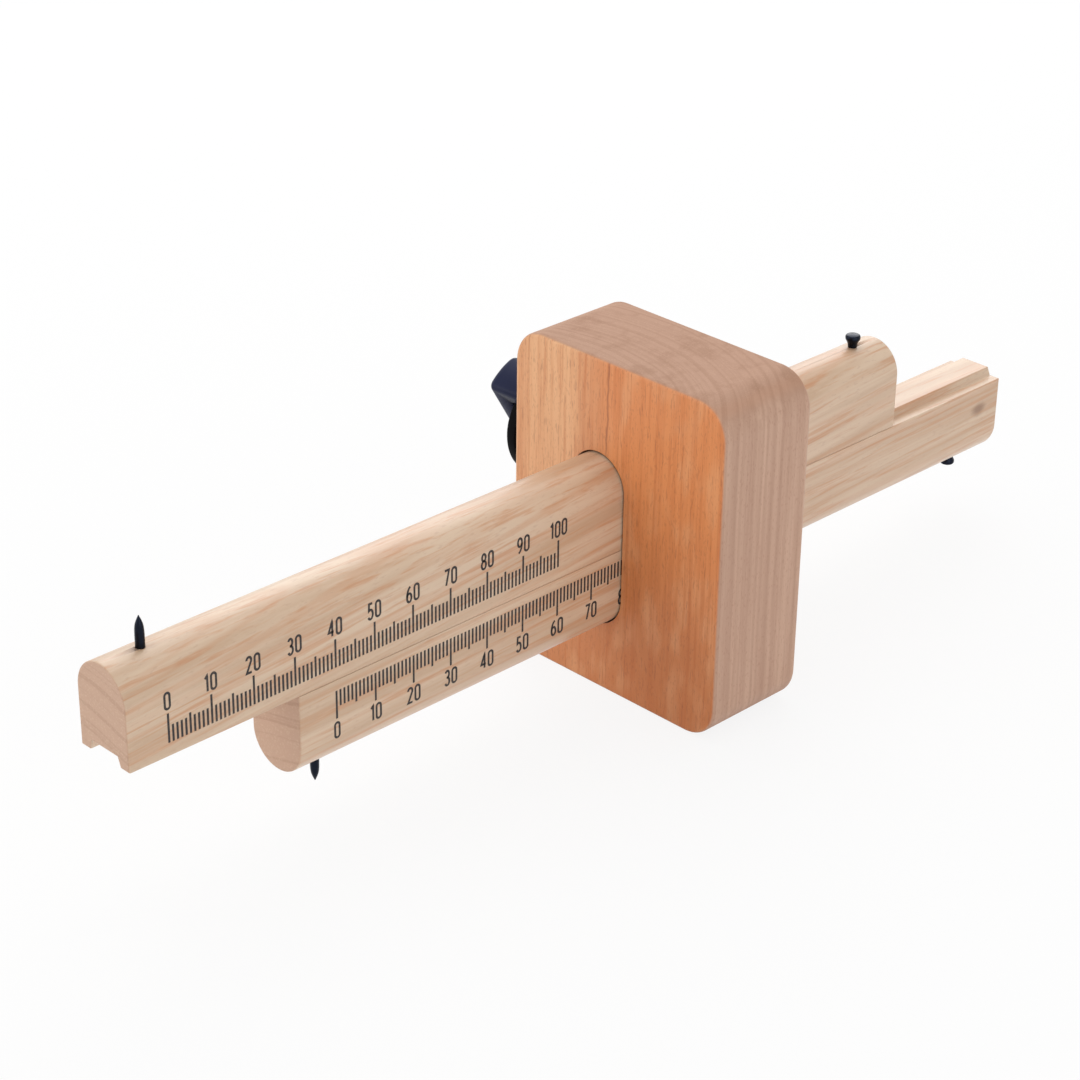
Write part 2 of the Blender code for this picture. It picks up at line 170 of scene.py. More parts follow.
class GaugeScale(bpy.types.PropertyGroup):
    pitch: length(0.001, "Distance from one tick to the next")
    ticks: IntProperty(default=101, min=2, description="Number of ticks on each scale")
    tick_width: length(0.00050, "Width of every tick")
    depth: length(0.00004, "Thickness of the printed film")
    upper_base: length(0.0028, "Height of the upper ticks' feet over the joint plane")
    lower_base: length(0.0024, "Depth of the lower ticks' heads under the joint plane")
    short: length(0.0036, "Length of a 1 mm tick")
    middle: length(0.0044, "Length of a 5 mm tick")
    long: length(0.0062, "Length of a 10 mm tick")
    numeral: length(0.0038, "Height of the numerals")
    numeral_gap: length(0.0007, "Distance from a long tick to its numeral")
    numeral_gap_between: length(0.00030, "Bare wood between the numerals of a number")
    stroke: length(0.00050, "Width of a numeral's strokes")
    ink: colour("#2E2A2B", "Printing ink")
    thin_ink: colour("#6E5F52", "Ink where the fibres show through")


class GaugeHardware(bpy.types.PropertyGroup):
    pin_point: length(0.0042, "Length of a marking pin's taper")
    thread_pitch: length(0.001, "Pitch of the clamp thread")
    thread_depth: length(0.0006, "Depth of the clamp thread")
    nose: length(0.004, "Diameter of the stud's nose in the pad")
    nose_length: length(0.0015, "Length of the stud's nose")
    slot_width: length(0.0014, "Width of the driver's slot in the insert")
    slot_depth: length(0.0016, "Depth of the driver's slot in the insert")
    steel: colour("#20242E", "Blued steel of the pins")
    zinc: colour("#BFC2C4", "Zinc plate on the stud")
    brass: colour("#D9B36A", "Turned brass of the insert and the pad")
    lip: length(0.0003, "Broken edge of the insert")
    pad_lip: length(0.0004, "Broken edge of the pad")


class GaugeKnob(bpy.types.PropertyGroup):
    span: length(0.031, "Width over both wings")
    tip_width: length(0.0092, "Width of a wing at its tip")
    root_width: length(0.0104, "Width of the wings at the stud")
    tip_round: length(0.0014, "Round on a wing's corners")
    edge_round: length(0.0018, "Round on the knob's outer edge")
    draft: length(0.0005, "How far the sides draw in towards the fence")
    turn: number(math.radians(34.0), "Lean of the upper wing from upright, towards the marking pins", subtype="ANGLE")
    collar_arris: length(0.0005, "Round on the collar's edges")
    navy: colour("#181E3C", "Wings of the knob")
    black: colour("#030304", "Collar of the knob")


class GaugeStage(bpy.types.PropertyGroup):
    floor_size: length(8.0, "Side of the floor")
    floor: colour("#FDFDFD", "Floor and backdrop")
    shadow_share: number(0.12, "Share of the floor's colour that the shadow can take away", max=1.0)
    top_power: number(3.4, "Soft box over the gauge, in watts")
    front_power: number(2.9, "Soft box beyond the marking pins, in watts")
    back_power: number(4.2, "Soft box behind the gauge that glances off its upper faces, in watts")
    side_power: number(2.2, "Weak soft box before the scales, in watts")
    sky: number(0.55, "Strength of the even light from all round")
    lens: number(92.0, "Focal length on a sensor 36 mm wide, in millimetres")


def add(tree, kind, values=(), **settings):
    """Adds a node with its settings. Each value goes to the socket of that name or number: a number, a colour, a
    socket, or a node, whose first output in use is meant."""
    made = tree.nodes.new(kind)
    for key, setting in settings.items():
        setattr(made, key, setting)
    for key, value in dict(values).items():
        if isinstance(value, bpy.types.Node):
            value = next(socket for socket in value.outputs if socket.enabled)
        if isinstance(value, bpy.types.NodeSocket):
            tree.links.new(value, made.inputs[key])
        else:
            made.inputs[key].default_value = value
    return made


def rgba(rgb):
    return (*rgb, 1.0)


def emptied(owner):
    """The owner of a shader tree, and that tree with nothing in it."""
    owner.use_nodes = True
    owner.node_tree.nodes.clear()
    return owner, owner.node_tree


def finished(made, tree, values):
    """The material, once a Principled shader with these values is joined to its output."""
    shader = add(tree, "ShaderNodeBsdfPrincipled", values)
    add(tree, "ShaderNodeOutputMaterial", {"Surface": shader})
    return made


def ramp(tree, source, *stops):
    """A colour ramp with the given (place, grey) stops."""
    made = add(tree, "ShaderNodeValToRGB", {0: source})
    made.color_ramp.interpolation = "EASE"
    while len(made.color_ramp.elements) < len(stops):
        made.color_ramp.elements.new(0.5)
    for element, (place, grey) in zip(made.color_ramp.elements, stops):
        element.position = place
        element.color = (grey, grey, grey, 1.0)
    return made


def blend(tree, factor, first, second):
    made = add(tree, "ShaderNodeMix", {MIX_FACTOR: factor, MIX_A: first, MIX_B: second}, data_type="RGBA")
    return made.outputs[MIX_RESULT]


def glazed(tree, ground, *coats):
    """Lays colours over a ground in turn. Each coat is a source, the values where it is bare and full, its share
    where it is full, and its colour."""
    for source, bare, full, share, rgb in coats:
        cover = ramp(tree, source, *sorted(((bare, 0.0), (full, share))))
        ground = blend(tree, cover, ground, rgba(rgb))
    return ground


def grain_space(tree, along, shift=(0.0, 0.0, 0.0), lean=(0.0, 0.0, 0.0)):
    """Object coordinates turned so that Z runs along the grain, with the normal turned the same way. The lean tips
    the grain out of the piece's own line, as in a board that wasn't split along it."""
    place = add(tree, "ShaderNodeTexCoord")
    turned = []
    for source in (place.outputs["Object"], place.outputs["Normal"]):
        parts = add(tree, "ShaderNodeSeparateXYZ", {0: source}).outputs
        order = (parts[1], parts[2], parts[0]) if along == "X" else (parts[0], parts[1], parts[2])
        turned.append(add(tree, "ShaderNodeCombineXYZ", dict(enumerate(order))))
    moved = add(tree, "ShaderNodeMapping", {"Vector": turned[0], "Location": shift, "Rotation": lean})
    return moved, turned[1]


def stretched_noise(tree, space, across, along, detail, roughness=0.55, waver=0.0):
    """Noise whose marks are about this wide across the grain and this long down it, in metres."""
    scaled = add(tree, "ShaderNodeMapping", {"Vector": space, "Scale": (1 / across, 1 / across, 1 / along)})
    return add(tree, "ShaderNodeTexNoise", {"Vector": scaled, "Scale": 1.0, "Detail": detail, "Roughness": roughness,
                                            "Distortion": waver})


def growth_rings(tree, space, pith, spacing, wander):
    """Uneven rings about the pith line, this far apart in metres, bent by slow noise."""
    slow = stretched_noise(tree, space, 0.022, 0.11, 1.0)
    from_pith = add(tree, "ShaderNodeMapping", {"Vector": space, "Location": (-pith[0], -pith[1], 0.0),
                                               "Scale": (1.0, 1.0, 0.0)})
    radius = add(tree, "ShaderNodeVectorMath", {0: from_pith}, operation="LENGTH")
    count = add(tree, "ShaderNodeMath", {0: radius.outputs["Value"], 1: 1.0 / spacing}, operation="MULTIPLY")
    bent = add(tree, "ShaderNodeMath", {0: slow, 1: wander, 2: count}, operation="MULTIPLY_ADD")
    return add(tree, "ShaderNodeTexNoise", {"W": bent, "Scale": 1.0, "Detail": 2.0, "Roughness": 0.6},
               noise_dimensions="1D")


def facing_share(tree, normal, axis, start, end):
    """1 where the surface faces along an axis, 0 where it is turned away from it."""
    parts = add(tree, "ShaderNodeSeparateXYZ", {0: normal}).outputs
    facing = add(tree, "ShaderNodeMath", {0: parts[axis]}, operation="ABSOLUTE")
    return ramp(tree, facing, (start, 0.0), (end, 1.0))


def fence_wood(look):
    """Steamed alder, planed and oiled: warm orange-brown broad faces with short dark vessel lines, pinker and
    straighter-grained sides, greyer end grain with soft arcs, satin all over."""
    made, tree = emptied(bpy.data.materials.new("steamed_alder_oiled"))
    space, normal = grain_space(tree, "Z")
    ring = growth_rings(tree, space, (-0.052, 0.008), 0.0013, 1.6)
    broad = stretched_noise(tree, space, 0.006, 0.090, 2.0, waver=0.3)
    cloud = stretched_noise(tree, space, 0.006, 0.014, 2.0)
    fibre = stretched_noise(tree, space, 0.0009, 0.026, 3.0, 0.6)
    vessels = stretched_noise(tree, space, 0.00045, 0.0042, 1.0)
    pores = stretched_noise(tree, space, 0.00032, 0.0009, 0.0)
    place = add(tree, "ShaderNodeSeparateXYZ", {0: space}).outputs

    # The broad face is pale towards the clamp and deep orange beyond the middle, partly the wood's own tone and partly
    # painted light, and it darkens towards the foot as painted shade
    # Partly painted light: the broad face is painted paler towards the clamp, as if lit brighter there, over the
    # wood's own change in tone
    sway = add(tree, "ShaderNodeMath", {0: broad, 1: 0.020, 2: place[1]}, operation="MULTIPLY_ADD")
    across = add(tree, "ShaderNodeMapRange", {0: sway, 1: 0.024, 2: 0.008})
    # Painted shade: the broad face browns and darkens towards the foot, where less light falls
    rise = add(tree, "ShaderNodeMath", {0: cloud, 1: 0.030, 2: place[2]}, operation="MULTIPLY_ADD")
    low = add(tree, "ShaderNodeMapRange", {0: rise, 1: 0.060, 2: 0.018})
    front = glazed(tree, rgba(look.pale), (across, 0.0, 1.0, 1.0, look.deep), (low, 0.0, 1.0, 0.8, look.heart),
                   (cloud, 0.45, 0.70, 0.35, look.pale), (fibre, 0.46, 0.70, 0.45, look.streak),
                   (ring, 0.45, 0.72, 0.30, look.streak), (vessels, 0.60, 0.72, 0.30, look.vessel))

    side = glazed(tree, rgba(look.side), (ring, 0.35, 0.70, 0.45, look.side_line),
                  (fibre, 0.40, 0.75, 0.35, look.side_line), (broad, 0.65, 0.35, 0.35, look.side_line))
    long_grain = blend(tree, facing_share(tree, normal, 1, 0.3, 0.85), front, side)
    speck = glazed(tree, long_grain, (pores, 0.62, 0.74, 0.18, look.vessel))

    # One hairline of darker grain runs from the top down to the mortise
    wobble = stretched_noise(tree, space, 0.05, 0.009, 2.0)
    aside = add(tree, "ShaderNodeMath", {0: wobble, 1: 0.0024, 2: -0.0040}, operation="MULTIPLY_ADD")
    away = add(tree, "ShaderNodeMath", {0: place[1], 1: aside}, operation="ADD")
    near = add(tree, "ShaderNodeMapRange", {0: add(tree, "ShaderNodeMath", {0: away}, operation="ABSOLUTE"),
                                            1: 0.0004, 2: 0.0001, 4: 0.5})
    high = add(tree, "ShaderNodeMapRange", {0: place[2], 1: 0.052, 2: 0.058})
    hairline = add(tree, "ShaderNodeMath", {0: near, 1: high}, operation="MULTIPLY")
    speck = blend(tree, hairline, speck, rgba(look.vessel))

    end = glazed(tree, rgba(look.end), (ring, 0.42, 0.72, 0.40, look.end_ring),
                 (cloud, 0.48, 0.68, 0.5, look.end_ring), (pores, 0.55, 0.75, 0.25, look.side))
    ends = facing_share(tree, normal, 2, 0.35, 0.95)
    return finished(made, tree, {"Base Color": blend(tree, ends, speck, end),
                                 **satin(tree, fibre, 0.46, 0.62, 0.00006, ends)})


def satin(tree, grain, low, high, depth, ends=None):
    """Roughness that follows the grain, matt where the ends are given, and the grain's relief in metres."""
    rough = add(tree, "ShaderNodeMapRange", {0: grain, 3: low, 4: high})
    if ends:
        rough = add(tree, "ShaderNodeMapRange", {0: ends, 3: rough, 4: 0.85})
    relief = add(tree, "ShaderNodeBump", {"Height": grain, "Strength": 0.35, "Distance": depth})
    return {"Roughness": rough, "Normal": relief}


def arm_wood(look, name, shift, lean, knot_at=None):
    """Pale steamed beech, planed and lacquered: pinkish cream, with tan streaks that run out of the arm at a slight
    slope, short ray flecks, and a thin satin coat that pales the faces seen at a slant."""
    made, tree = emptied(bpy.data.materials.new(name))
    space, normal = grain_space(tree, "X", shift, (lean, 0.03, 0.0))
    ring = growth_rings(tree, space, (0.012, -0.030), 0.0024, 1.5)
    broad = stretched_noise(tree, space, 0.005, 0.120, 2.0, waver=0.4)
    streaks = stretched_noise(tree, space, 0.0011, 0.034, 3.0, 0.6, waver=0.4)
    fibre = stretched_noise(tree, space, 0.0006, 0.010, 3.0, 0.6)
    flecks = stretched_noise(tree, space, 0.00042, 0.0018, 1.0)

    speck = glazed(tree, rgba(look.pale), (broad, 0.36, 0.64, 1.0, look.deep), (ring, 0.45, 0.72, 0.35, look.streak),
                   (streaks, 0.50, 0.68, 0.60, look.streak), (fibre, 0.50, 0.75, 0.40, look.pale),
                   (flecks, 0.58, 0.74, 0.35, look.end))
    if knot_at:
        scale = (1 / KNOT_LENGTH, 1 / KNOT_LENGTH, 1 / KNOT_HEIGHT)
        place = add(tree, "ShaderNodeTexCoord").outputs["Object"]
        squeezed = add(tree, "ShaderNodeMapping", {"Vector": place, "Scale": scale,
                                                   "Location": [-a * b for a, b in zip(knot_at, scale)]})
        away = add(tree, "ShaderNodeVectorMath", {0: squeezed}, operation="LENGTH").outputs["Value"]
        ragged = add(tree, "ShaderNodeMath", {0: streaks, 1: 0.6, 2: away}, operation="MULTIPLY_ADD")
        speck = glazed(tree, speck, (ragged, 1.0, 0.42, 0.80, look.knot))

    end = glazed(tree, rgba(look.end), (ring, 0.55, 0.66, 0.50, look.end_ring), (flecks, 0.50, 0.75, 0.30, look.pale))
    ends = facing_share(tree, normal, 2, 0.35, 0.95)
    return finished(made, tree, {"Base Color": blend(tree, ends, speck, end), "Coat Weight": 0.45,
                                 "Coat Roughness": 0.28, **satin(tree, fibre, 0.38, 0.52, 0.00004, ends)})


def metal(name, rgb, roughness, scratch_across):
    """Turned or drawn metal with fine lines round it, a little rougher in places."""
    made, tree = emptied(bpy.data.materials.new(name))
    place = add(tree, "ShaderNodeTexCoord").outputs["Object"]
    lines = add(tree, "ShaderNodeTexNoise", {"Vector": place, "Scale": scratch_across, "Detail": 3.0})
    shade = glazed(tree, rgba(rgb), (lines, 0.3, 0.7, 0.35, [part * 0.6 for part in rgb]))
    return finished(made, tree, {"Base Color": shade, "Metallic": 1.0,
                                 **satin(tree, lines, roughness - 0.06, roughness + 0.1, 0.00002)})


def moulded_plastic(name, rgb, roughness, gloss):
    """Glass-filled nylon as it comes from the mould: satin with a very fine spark-eroded texture."""
    made, tree = emptied(bpy.data.materials.new(name))
    place = add(tree, "ShaderNodeTexCoord").outputs["Object"]
    pebble = add(tree, "ShaderNodeTexNoise", {"Vector": place, "Scale": 2600.0, "Detail": 2.0})
    cloud = add(tree, "ShaderNodeTexNoise", {"Vector": place, "Scale": 120.0, "Detail": 2.0})
    shade = glazed(tree, rgba(rgb), (cloud, 0.3, 0.7, 0.4, [part * 0.75 for part in rgb]))
    rough = add(tree, "ShaderNodeMapRange", {0: cloud, 3: roughness - 0.05, 4: roughness + 0.08})
    relief = add(tree, "ShaderNodeBump", {"Height": pebble, "Strength": 0.3, "Distance": 0.00003})
    return finished(made, tree, {"Base Color": shade, "IOR": 1.53, "Specular IOR Level": gloss, "Roughness": rough,
                                 "Normal": relief})


def printing_ink(look):
    """Screen-printed ink on wood: matt, a little thin where the fibres show through."""
    made, tree = emptied(bpy.data.materials.new("screen_print_ink"))
    space, _normal = grain_space(tree, "X")
    fibre = stretched_noise(tree, space, 0.0005, 0.008, 3.0)
    shade = glazed(tree, rgba(look.ink), (fibre, 0.4, 0.75, 0.35, look.thin_ink))
    return finished(made, tree, {"Base Color": shade, "Roughness": 0.7})


def mesh_from(bm, name):
    """Mesh from a bmesh, with doubles merged, faces out and round stretches smooth."""
    bmesh.ops.remove_doubles(bm, verts=bm.verts, dist=SNAP)
    bmesh.ops.recalc_face_normals(bm, faces=bm.faces)
    mesh = bpy.data.meshes.new(name)
    bm.to_mesh(mesh)
    bm.free()
    mesh.shade_smooth()
    mesh.set_sharp_from_angle(angle=SMOOTH_ANGLE)
    return mesh


def put(name, mesh, surface=None):
    piece = bpy.data.objects.new(name, mesh)
    bpy.context.scene.collection.objects.link(piece)
    if surface:
        mesh.materials.append(surface)
    return piece


def arc(centre, radius, start, end, segments=ARC_SEGMENTS):
    turns = (start + (end - start) * step / segments for step in range(segments + 1))
    return [(centre[0] + radius * math.cos(turn), centre[1] + radius * math.sin(turn)) for turn in turns]


def bar(name, outline, low, high, axis="X", long_share=0.0):
    """A flat outline run from low to high along an axis: (Y, Z) points for X, (X, Z) points for Y. Its end edges are
    eased in full, and its long corners by the given share."""
    bm = bmesh.new()
    spots = [(low, a, b) if axis == "X" else (a, low, b) for a, b in outline]
    base = bm.faces.new([bm.verts.new(spot) for spot in spots])
    grown = bmesh.ops.extrude_face_region(bm, geom=[base])
    push = Vector((high - low, 0.0, 0.0)) if axis == "X" else Vector((0.0, high - low, 0.0))
    bmesh.ops.translate(bm, verts=[part for part in grown["geom"] if isinstance(part, bmesh.types.BMVert)], vec=push)
    bmesh.ops.recalc_face_normals(bm, faces=bm.faces)
    eased = bm.edges.layers.float.new("bevel_weight_edge")
    for edge in bm.edges:
        if abs((edge.verts[0].co - edge.verts[1].co).dot(push)) < SNAP * SNAP:
            edge[eased] = 1.0
        elif edge.calc_face_angle() > EASE_ANGLE:
            edge[eased] = long_share
    return mesh_from(bm, name)


def join_rings(bm, rings, closed=False):
    """Walls between rings of vertices, and a cap at each end unless the last ring meets the first."""
    for low, high in zip(rings, rings[1:] + rings[:1] if closed else rings[1:]):
        for spot, corner in enumerate(low):
            bm.faces.new((low[spot - 1], corner, high[spot], high[spot - 1]))
    if not closed:
        bm.faces.new(rings[0])
        bm.faces.new(rings[-1])


def turned(name, profile, axis, centre, segments=ROUND_SEGMENTS):
    """A profile of (radius, along) points spun about an axis, and moved to its centre."""
    bm = bmesh.new()
    line = [bm.verts.new((radius, 0.0, along)) for radius, along in profile]
    edges = [bm.edges.new(pair) for pair in zip(line, line[1:])]
    bmesh.ops.spin(bm, geom=line + edges, axis=(0.0, 0.0, 1.0), cent=(0.0, 0.0, 0.0), angle=math.tau, steps=segments,
                   use_duplicate=False)
    turn = Vector((0.0, 0.0, 1.0)).rotation_difference(Vector(axis)).to_matrix().to_4x4()
    bmesh.ops.transform(bm, matrix=Matrix.Translation(centre) @ turn, verts=bm.verts)
    return mesh_from(bm, name)


def on_clamp(name, profile, y, segments=ROUND_SEGMENTS):
    """A profile spun about the clamp's axis, from this Y on."""
    return turned(name, profile, (0.0, 1.0, 0.0), (CLAMP_X, y, CLAMP_Z), segments)


def step_bevel(piece, width, segments, limit=None):
    """Eases edges by their own weight, or all that are sharper than a limit."""
    step = piece.modifiers.new("eased", "BEVEL")
    step.width = width
    step.segments = segments
    step.limit_method = "ANGLE" if limit else "WEIGHT"
    if limit:
        step.angle_limit = limit


def step_cut(piece, mesh):
    """Cuts a mesh out of a piece, and gives back the cutter to be removed."""
    cutter = put(f"{piece.name} cutter", mesh)
    step = piece.modifiers.new("cut", "BOOLEAN")
    step.operation = "DIFFERENCE"
    step.solver = "EXACT"
    step.object = cutter
    return cutter


def settle(piece, cutters=(), flatten=False):
    """Turns a piece's modifiers into plain mesh and removes its cutters. Flattening keeps broad faces evenly lit."""
    if flatten:
        piece.modifiers.new("even faces", "WEIGHTED_NORMAL").keep_sharp = True
    bpy.context.view_layer.update()
    graph = bpy.context.evaluated_depsgraph_get()
    mesh = bpy.data.meshes.new_from_object(piece.evaluated_get(graph))
    piece.modifiers.clear()
    piece.data = mesh
    for cutter in cutters:
        bpy.data.objects.remove(cutter)
    return piece


def seat(piece, body, slot=None, *nodes):
    """Rides on its body and stands for its nodes, which it hides. The slot is not used."""
    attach(piece, body)
    if nodes:
        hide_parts(*nodes)


def round_side(crown, up, grow=0.0):
    """Round crown of an arm, whose high side is up (1) or down (-1)."""
    start = 0.0 if up > 0 else math.pi
    return arc((ARM_Y, crown - up * ARM_HALF), ARM_HALF + grow, start, start + math.pi)


class GAUGE_OT_fence(bpy.types.Operator):
    """Makes the fence: a block with round corners, eased faces, the arms' mortise and the clamp's bore"""
    bl_idname = "gauge.fence"
    bl_label = "Fence"

    def execute(self, context):
        look = context.scene.gauge_fence
        half = (FENCE_HIGH.y - FENCE_LOW.y) / 2
        r = look.corner
        top = FENCE_HIGH.z
        foot = FENCE_LOW.z
        quarter = math.pi / 2
        outline = []
        corners = ((half - r, foot + r), (half - r, top - r), (r - half, top - r), (r - half, foot + r))
        for turns, corner in enumerate(corners, -1):
            outline += arc(corner, r, turns * quarter, (turns + 1) * quarter, CORNER_SEGMENTS)
        block = put("fence_block", bar("fence_block", outline, FENCE_LOW.x, FENCE_HIGH.x), fence_wood(look))
        step_bevel(block, look.arris, 4)
        mouth = round_side(UPPER_HIGH.z, 1, look.mortise_fit) + round_side(LOWER_LOW.z, -1, look.mortise_fit)
        cutters = [step_cut(block, bar("mortise", mouth, FENCE_LOW.x - CUT_OVERRUN, FENCE_HIGH.x + CUT_OVERRUN))]
        radius = (INSERT_HIGH.x - INSERT_LOW.x) / 2 + look.mouth_arris
        bore_end = FENCE_HIGH.y + CUT_OVERRUN - ARM_Y
        profile = [(0.0, 0.0), (radius, 0.0), (radius, bore_end), (0.0, bore_end)]
        cutters.append(step_cut(block, on_clamp("bore", profile, ARM_Y)))
        step_bevel(block, look.mouth_arris, 2, math.radians(60.0))
        seat(settle(block, cutters, True), "fence", "fence_wood", "fence")
        return {"FINISHED"}


class GAUGE_OT_arms(bpy.types.Operator):
    """Makes both arms: the upper with its groove, the lower with its tongue, each drilled for its pins"""
    bl_idname = "gauge.arms"
    bl_label = "Arms"

    def execute(self, context):
        look = context.scene.gauge_arms
        self.upper(look)
        self.lower(look)
        return {"FINISHED"}

    def upper(self, look):
        mouth = look.groove_mouth / 2
        ceiling = look.groove_ceiling / 2
        lift = JOINT_Z + look.groove_depth
        outline = [(ARM_Y - ARM_HALF, JOINT_Z), (ARM_Y - mouth, JOINT_Z), (ARM_Y - ceiling, lift),
                   (ARM_Y + ceiling, lift), (ARM_Y + mouth, JOINT_Z), (ARM_Y + ARM_HALF, JOINT_Z)]
        outline += round_side(UPPER_HIGH.z, 1)
        surface = arm_wood(look, "pale_beech_upper", (0.0, 0.0, 0.0), look.upper_lean)
        arm = drilled("upper_arm_bar", outline, UPPER_LOW.x, UPPER_HIGH.x, surface, look, 1, UPPER_PIN, UPPER_STOP)
        seat(arm, "upper_arm", "arm_wood", "upper_arm")

    def lower(self, look):
        root = look.groove_mouth / 2 - look.running_fit
        top = look.groove_ceiling / 2 - look.running_fit
        shoulder = JOINT_Z - look.running_fit
        crest = LOWER_HIGH.z
        outline = round_side(LOWER_LOW.z, -1)
        outline += [(ARM_Y + ARM_HALF, shoulder), (ARM_Y + root, shoulder), (ARM_Y + top, crest),
                    (ARM_Y - top, crest), (ARM_Y - root, shoulder), (ARM_Y - ARM_HALF, shoulder)]
        knot = (LOWER_HIGH.x - 0.0074, LOWER_LOW.y, JOINT_Z - 0.0060)
        surface = arm_wood(look, "pale_beech_lower", (0.031, 0.017, 0.4), look.lower_lean, knot)
        arm = drilled("lower_arm_bar", outline, LOWER_LOW.x, LOWER_HIGH.x, surface, look, -1, LOWER_PIN, LOWER_STOP)
        seat(arm, "lower_arm", "arm_wood", "lower_arm")


def inner_end(low, high, up):
    """Middle of a driven pin's inner end, for a pin that points up (1) or down (-1)."""
    return (low.x + high.x) / 2, (low.y + high.y) / 2, low.z if up > 0 else high.z


def drilled(name, outline, low, high, surface, look, up, *pins):
    """An arm with a hole for each driven pin, from its inner end out past the arm's crown."""
    arm = put(name, bar(name, outline, low, high, "X", look.long_share), surface)
    step_bevel(arm, look.arris, 3)
    radius = PIN_RADIUS + look.pin_hole_fit
    cutters = []
    for pin_low, pin_high in pins:
        reach = pin_high.z - pin_low.z + CUT_OVERRUN
        profile = [(0.0, 0.0), (radius, 0.0), (radius, reach), (0.0, reach)]
        centre = inner_end(pin_low, pin_high, up)
        cutters.append(step_cut(arm, turned("pin hole", profile, (0.0, 0.0, up), centre, HOLE_SEGMENTS)))
    return settle(arm, cutters, True)


def scale_tree():
    """Geometry Nodes tree of a graduated scale along X, with longer ticks at every fifth and tenth."""
    tree = bpy.data.node_groups.new("graduated_scale", "GeometryNodeTree")
    wanted = {"Ticks": "NodeSocketInt", "Ink": "NodeSocketMaterial"}
    for name in ("Pitch", "Ticks", "Tick width", "Depth", "Short", "Middle", "Long", "Direction", "Ink"):
        tree.interface.new_socket(name, in_out="INPUT", socket_type=wanted.get(name, "NodeSocketFloat"))
    tree.interface.new_socket("Geometry", in_out="OUTPUT", socket_type="NodeSocketGeometry")
    given = add(tree, "NodeGroupInput").outputs
    step = add(tree, "ShaderNodeCombineXYZ", {0: given["Pitch"]})
    line = add(tree, "GeometryNodeMeshLine", {"Count": given["Ticks"], "Offset": step})
    index = add(tree, "GeometryNodeInputIndex")
    tall = given["Short"]
    for every, name in ((5.0, "Middle"), (10.0, "Long")):
        past = add(tree, "ShaderNodeMath", {0: index, 1: every}, operation="MODULO")
        due = add(tree, "ShaderNodeMath", {0: past, 1: 0.5}, operation="LESS_THAN")
        tall = add(tree, "GeometryNodeSwitch", {"Switch": due, "False": tall, "True": given[name]}, input_type="FLOAT")
    half = add(tree, "ShaderNodeMath", {0: tall, 1: 0.5}, operation="MULTIPLY")
    rise = add(tree, "ShaderNodeMath", {0: half, 1: given["Direction"]}, operation="MULTIPLY")
    lift = add(tree, "ShaderNodeCombineXYZ", {2: rise})
    placed = add(tree, "GeometryNodeSetPosition", {"Geometry": line, "Offset": lift})
    size = add(tree, "ShaderNodeCombineXYZ", {0: given["Tick width"], 1: given["Depth"], 2: 1.0})
    slab = add(tree, "GeometryNodeMeshCube", {"Size": size})
    stretch = add(tree, "ShaderNodeCombineXYZ", {0: 1.0, 1: 1.0, 2: tall})
    ticks = add(tree, "GeometryNodeInstanceOnPoints", {"Points": placed, "Instance": slab, "Scale": stretch})
    real = add(tree, "GeometryNodeRealizeInstances", {0: ticks})
    inked = add(tree, "GeometryNodeSetMaterial", {"Geometry": real, "Material": given["Ink"]})
    add(tree, "NodeGroupOutput", {0: inked})
    return tree


def scale_ticks(name, tree, look, zero, direction, ink):
    """One arm's ticks as a plain mesh, from the tree's named inputs."""
    maker = put(f"{name} maker", bpy.data.meshes.new(name))
    step = maker.modifiers.new("scale", "NODES")
    step.node_group = tree
    own = {"Direction": float(direction), "Ink": ink}
    for item in tree.interface.items_tree:
        if item.in_out == "INPUT":
            value = own[item.name] if item.name in own else getattr(look, item.name.lower().replace(" ", "_"))
            step[item.identifier] = value
    settle(maker)
    mesh = maker.data
    mesh.transform(Matrix.Translation(zero))
    bpy.data.objects.remove(maker)
    return put(name, mesh)


def stroke_points(stroke):
    """Points along a stroke of corners (x, y) and elliptical bends (x, y, rx, ry, from, to), no step over a tenth."""
    points = []
    for item in stroke:
        if len(item) == 2:
            goal = Vector(item)
            steps = max(1, math.ceil((goal - points[-1]).length / 0.1)) if points else 1
            start = points[-1] if points else goal
            points += [start.lerp(goal, (step + 1) / steps) for step in range(steps)]
        else:
            x, y, rx, ry, low, high = item
            for step in range(15):
                turn = math.radians(low + (high - low) * step / 14)
                points.append(Vector((x + rx * math.cos(turn), y + ry * math.sin(turn))))
    return [point for spot, point in enumerate(points) if not spot or (point - points[spot - 1]).length > 0.001]


def ink_stroke(bm, points, left, look, at):
    """One even stroke as a thin film on the arm's -Y side. Its points are in numeral heights."""
    closed = (points[0] - points[-1]).length < 0.01
    if closed:
        points = points[:-1]
    count = len(points)
    rings = []
    for spot, point in enumerate(points):
        before = points[spot - 1] if spot or closed else None
        after = points[(spot + 1) % count] if spot < count - 1 or closed else None
        runs = [(b - a).normalized() for a, b in ((before, point), (point, after)) if a and b]
        along = sum(runs, Vector((0.0, 0.0))).normalized()
        across = Vector((-along.y, along.x))
        reach = look.stroke / 2 / max(0.5, across.dot(Vector((-runs[0].y, runs[0].x))))
        ring = []
        for side, lift in ((reach, 0.5), (-reach, 0.5), (-reach, -0.5), (reach, -0.5)):
            x = at.x + (left + point.x) * look.numeral + across.x * side
            z = at.z + point.y * look.numeral + look.stroke / 2 + across.y * side
            ring.append(bm.verts.new((x, at.y - lift * look.depth, z)))
        rings.append(ring)
    join_rings(bm, rings, closed)


def follow_round(mesh, centre_z, up):
    """Bends print back onto the arm's round where it runs past the flat side."""
    for vertex in mesh.vertices:
        past = (vertex.co.z - centre_z) * up
        if past > 0.0:
            vertex.co.y += ARM_HALF - math.sqrt(ARM_HALF * ARM_HALF - past * past)


